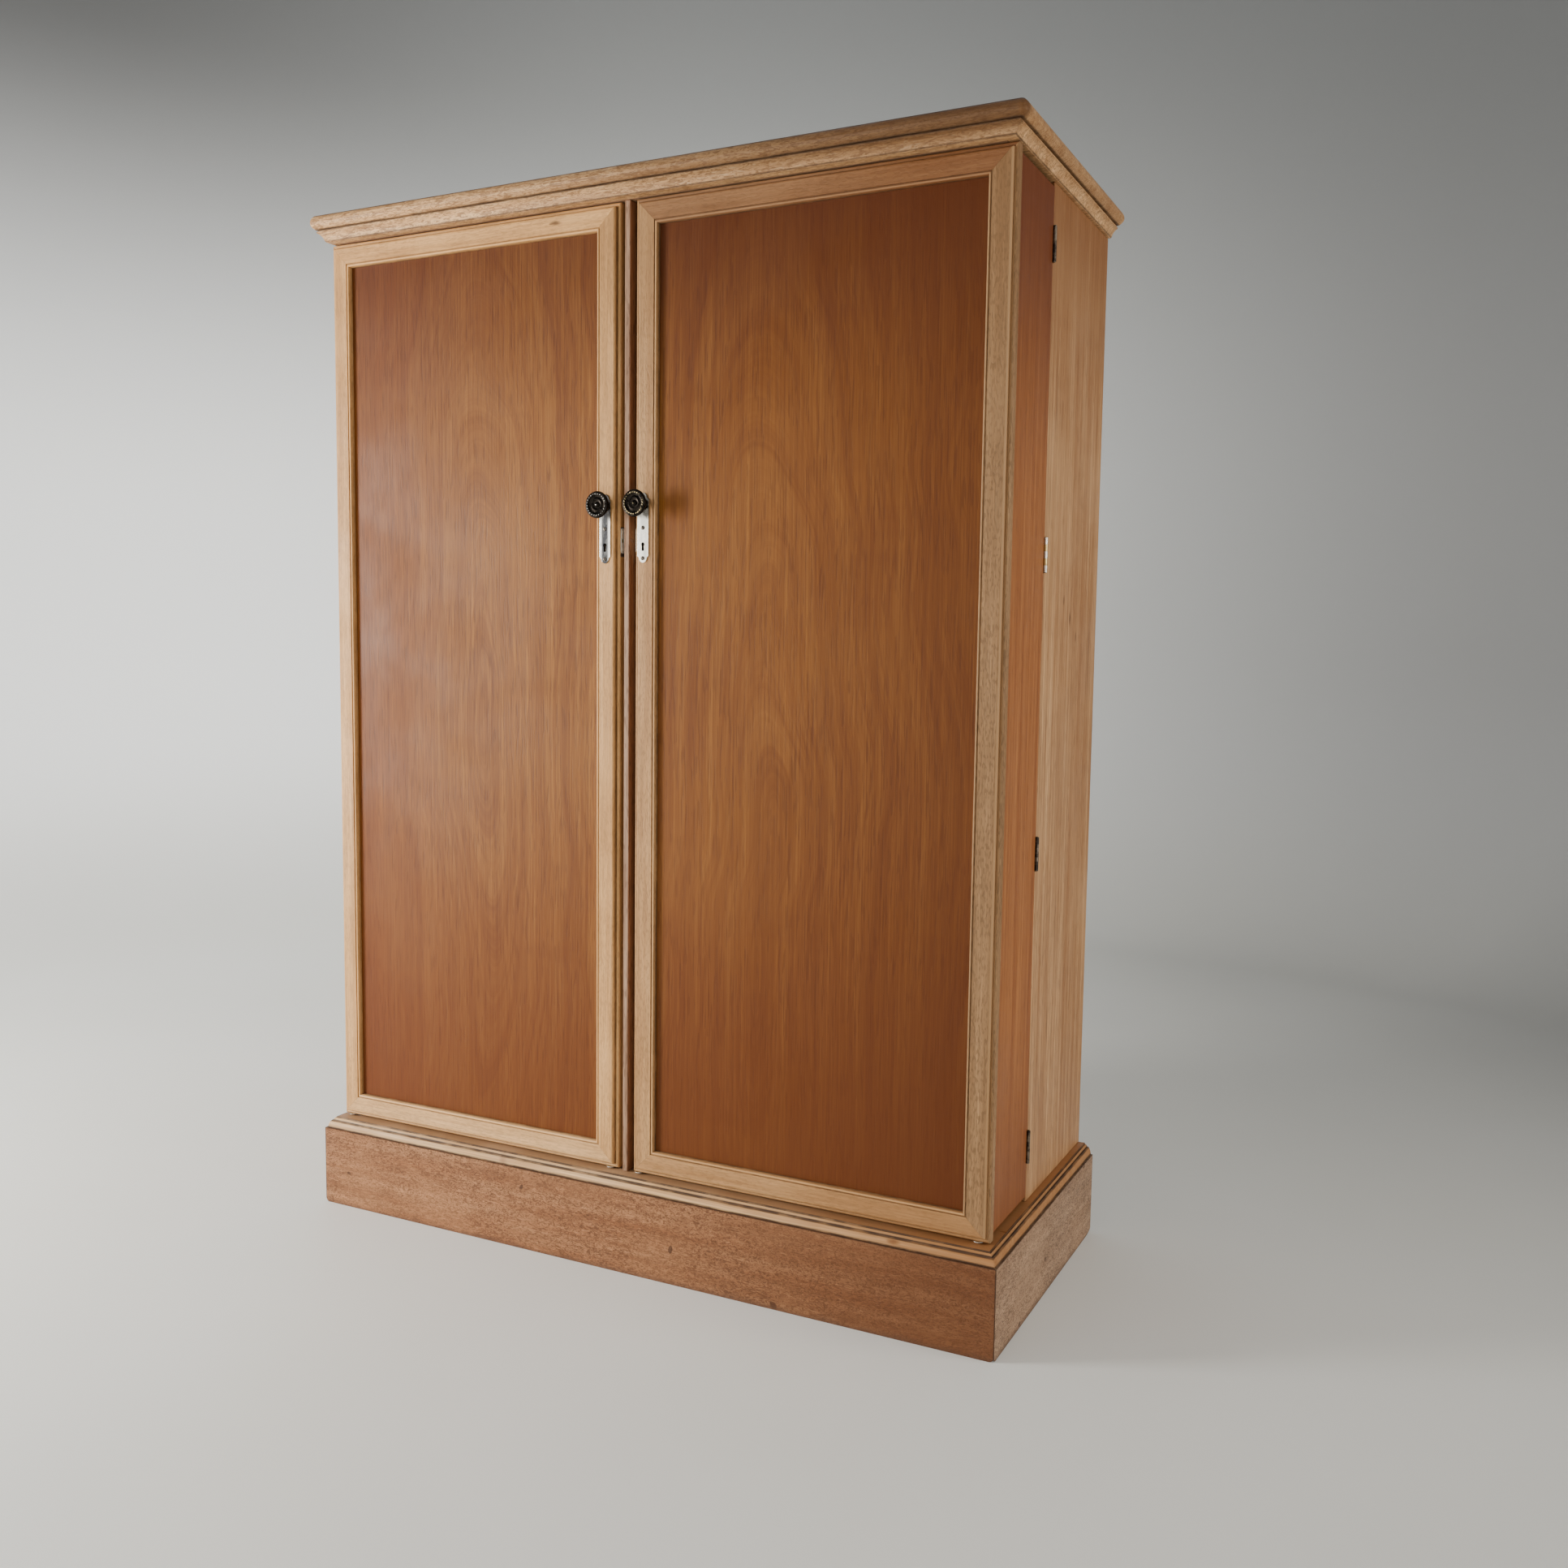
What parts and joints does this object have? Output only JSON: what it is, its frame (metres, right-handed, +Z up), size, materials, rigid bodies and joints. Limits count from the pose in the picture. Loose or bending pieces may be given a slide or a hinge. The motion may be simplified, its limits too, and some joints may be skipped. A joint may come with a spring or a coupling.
{
  "type": "wardrobe",
  "caption": "Free-standing compactum wardrobe with deep box doors on butt hinges, framed veneer panels, knobs on lock plates, a plinth base and a moulded cornice.",
  "frame": {"origin": "centre of the bounding box at the floor, under the plinth", "axes": "+Z up, the doors face -Y, +X is to the right of a person facing the doors"},
  "size_m": [1.324, 0.565, 1.815],
  "materials": {
    "frame_wood": "worn satin varnish on tan, fine-grained wood",
    "cornice_wood": "worn satin varnish on tan, flecked wood",
    "panel_wood": "satin varnish on red-brown cathedral-figured veneer",
    "side_wood": "satin varnish on blond straight-grained veneer",
    "plinth_wood": "dull worn varnish on pink-brown flecked wood",
    "moulding_wood": "worn pale moulding with dark grooves",
    "inner_wood": "dull, unpolished inner wood",
    "worn_nickel": "worn, scratched nickel plate",
    "dark_bronze": "dark patinated bronze with brass showing on the rims",
    "aged_brass": "aged brass, dull",
    "rod_steel": "dull grey steel"
  },
  "bodies": {
    "carcase": {"plinth_front": "plinth_wood", "plinth_left": "plinth_wood", "plinth_right": "plinth_wood", "plinth_back": "plinth_wood", "base_moulding": "moulding_wood", "base_board": "inner_wood", "carcase_back": "inner_wood", "carcase_top": "inner_wood", "left_shelf_lower": "inner_wood", "left_shelf_upper": "inner_wood", "carcase_left_side": "side_wood", "carcase_right_side": "side_wood", "centre_partition": "panel_wood", "cornice_slab": "cornice_wood", "cornice_moulding": "cornice_wood", "hanging_rod": "rod_steel", "left_hinge_1_fixed_leaf": "aged_brass", "left_hinge_2_fixed_leaf": "aged_brass", "left_hinge_3_fixed_leaf": "aged_brass", "left_hinge_4_fixed_leaf": "aged_brass", "right_hinge_1_fixed_leaf": "aged_brass", "right_hinge_2_fixed_leaf": "aged_brass", "right_hinge_3_fixed_leaf": "aged_brass", "right_hinge_4_fixed_leaf": "aged_brass"},
    "left_door": {"left_door_hinge_stile": "frame_wood", "left_door_lock_stile": "frame_wood", "left_door_top_rail": "frame_wood", "left_door_bottom_rail": "frame_wood", "left_door_panel": "panel_wood", "left_door_hinge_board": "panel_wood", "left_door_lock_board": "panel_wood", "left_door_top_board": "inner_wood", "left_door_bottom_board": "inner_wood", "left_backplate": "worn_nickel", "left_lock_case": "rod_steel", "left_hinge_1_moving_leaf": "aged_brass", "left_hinge_2_moving_leaf": "aged_brass", "left_hinge_3_moving_leaf": "aged_brass", "left_hinge_4_moving_leaf": "aged_brass"},
    "left_knob_turn_set": {"left_knob": "dark_bronze"},
    "left_latch": {"left_latch_bolt": "aged_brass"},
    "left_lock_bolt": {"left_deadbolt": "aged_brass"},
    "right_door": {"right_door_hinge_stile": "frame_wood", "right_door_lock_stile": "frame_wood", "right_door_top_rail": "frame_wood", "right_door_bottom_rail": "frame_wood", "right_door_panel": "panel_wood", "right_door_hinge_board": "panel_wood", "right_door_lock_board": "panel_wood", "right_door_top_board": "inner_wood", "right_door_bottom_board": "inner_wood", "right_backplate": "worn_nickel", "right_lock_case": "rod_steel", "right_hinge_1_moving_leaf": "aged_brass", "right_hinge_2_moving_leaf": "aged_brass", "right_hinge_3_moving_leaf": "aged_brass", "right_hinge_4_moving_leaf": "aged_brass"},
    "right_knob_turn_set": {"right_knob": "dark_bronze"},
    "right_latch": {"right_latch_bolt": "aged_brass"},
    "right_lock_bolt": {"right_deadbolt": "aged_brass"}
  },
  "joints": [
    {"name": "left_door_swing", "type": "hinge", "parent": "carcase", "child": "left_door", "pos_m": [-0.637, -0.047, 0.967], "axis": [0, 0, -1], "range_deg": [0, 150]},
    {"name": "left_knob_turn", "type": "hinge", "parent": "left_door", "child": "left_knob_turn_set", "pos_m": [-0.0478, -0.2495, 1.285], "axis": [0, 1, 0], "range_deg": [0, 60]},
    {"name": "left_latch_throw", "type": "slide", "parent": "left_door", "child": "left_latch", "axis": [1, 0, 0], "range_m": [0, 0.012]},
    {"name": "left_lock_throw", "type": "slide", "parent": "left_door", "child": "left_lock_bolt", "axis": [1, 0, 0], "range_m": [0, 0.012]},
    {"name": "right_door_swing", "type": "hinge", "parent": "carcase", "child": "right_door", "pos_m": [0.637, -0.047, 0.967], "axis": [0, 0, 1], "range_deg": [0, 150]},
    {"name": "right_knob_turn", "type": "hinge", "parent": "right_door", "child": "right_knob_turn_set", "pos_m": [0.0259, -0.2495, 1.285], "axis": [0, -1, 0], "range_deg": [0, 60]},
    {"name": "right_latch_throw", "type": "slide", "parent": "right_door", "child": "right_latch", "axis": [-1, 0, 0], "range_m": [0, 0.0168]},
    {"name": "right_lock_throw", "type": "slide", "parent": "right_door", "child": "right_lock_bolt", "axis": [-1, 0, 0], "range_m": [0, 0.0168]}
  ],
  "couplings": [
    {"joint": "left_latch_throw", "follows": "left_knob_turn", "m_per_rad": 0.011459},
    {"joint": "right_latch_throw", "follows": "right_knob_turn", "m_per_rad": 0.016042}
  ]
}
